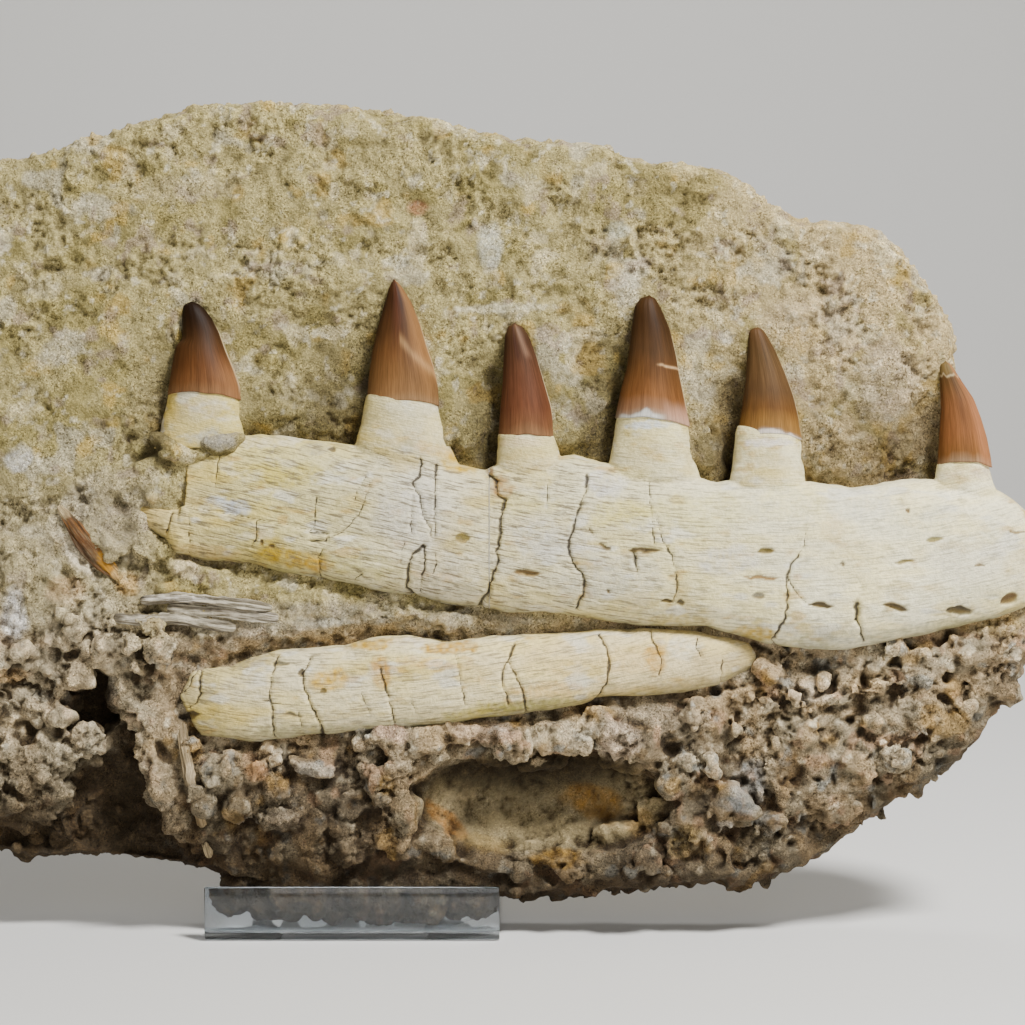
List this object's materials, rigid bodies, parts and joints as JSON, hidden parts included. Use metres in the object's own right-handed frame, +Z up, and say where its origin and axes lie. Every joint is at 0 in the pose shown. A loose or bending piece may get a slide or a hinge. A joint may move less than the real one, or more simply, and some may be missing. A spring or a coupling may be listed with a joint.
{
  "type": "mosasaur jaw fossil",
  "caption": "Toothed lower jaw bone of a mosasaur on a slab of sandy matrix, with a second jaw bone and bone splinters, leaning in a clear acrylic easel.",
  "frame": {"origin": "middle of the whole model's footprint, on the surface that the easel stands on", "axes": "+X along the jaw towards its tip, -Y out of the fossil's face, +Z up"},
  "size_m": [0.4386, 0.1522, 0.288],
  "materials": {
    "sandy_matrix": "rough sandy phosphate rock",
    "fossil_bone": "dry cracked bone, faintly polished on its ridges",
    "tooth_enamel": "glossy brown enamel",
    "clear_acrylic": "clear polished sheet"
  },
  "bodies": {
    "root": {"matrix_slab": "sandy_matrix", "dentary_with_roots": "fossil_bone", "lower_jaw_bone": "fossil_bone", "tooth_crown_1": "tooth_enamel", "tooth_crown_2": "tooth_enamel", "tooth_crown_3": "tooth_enamel", "tooth_crown_4": "tooth_enamel", "tooth_crown_5": "tooth_enamel", "tooth_crown_6": "tooth_enamel", "bone_splinter_upper": "fossil_bone", "bone_splinter_flat": "fossil_bone", "bone_splinter_lower": "fossil_bone", "stand_easel": "clear_acrylic"}
  },
  "joints": []
}
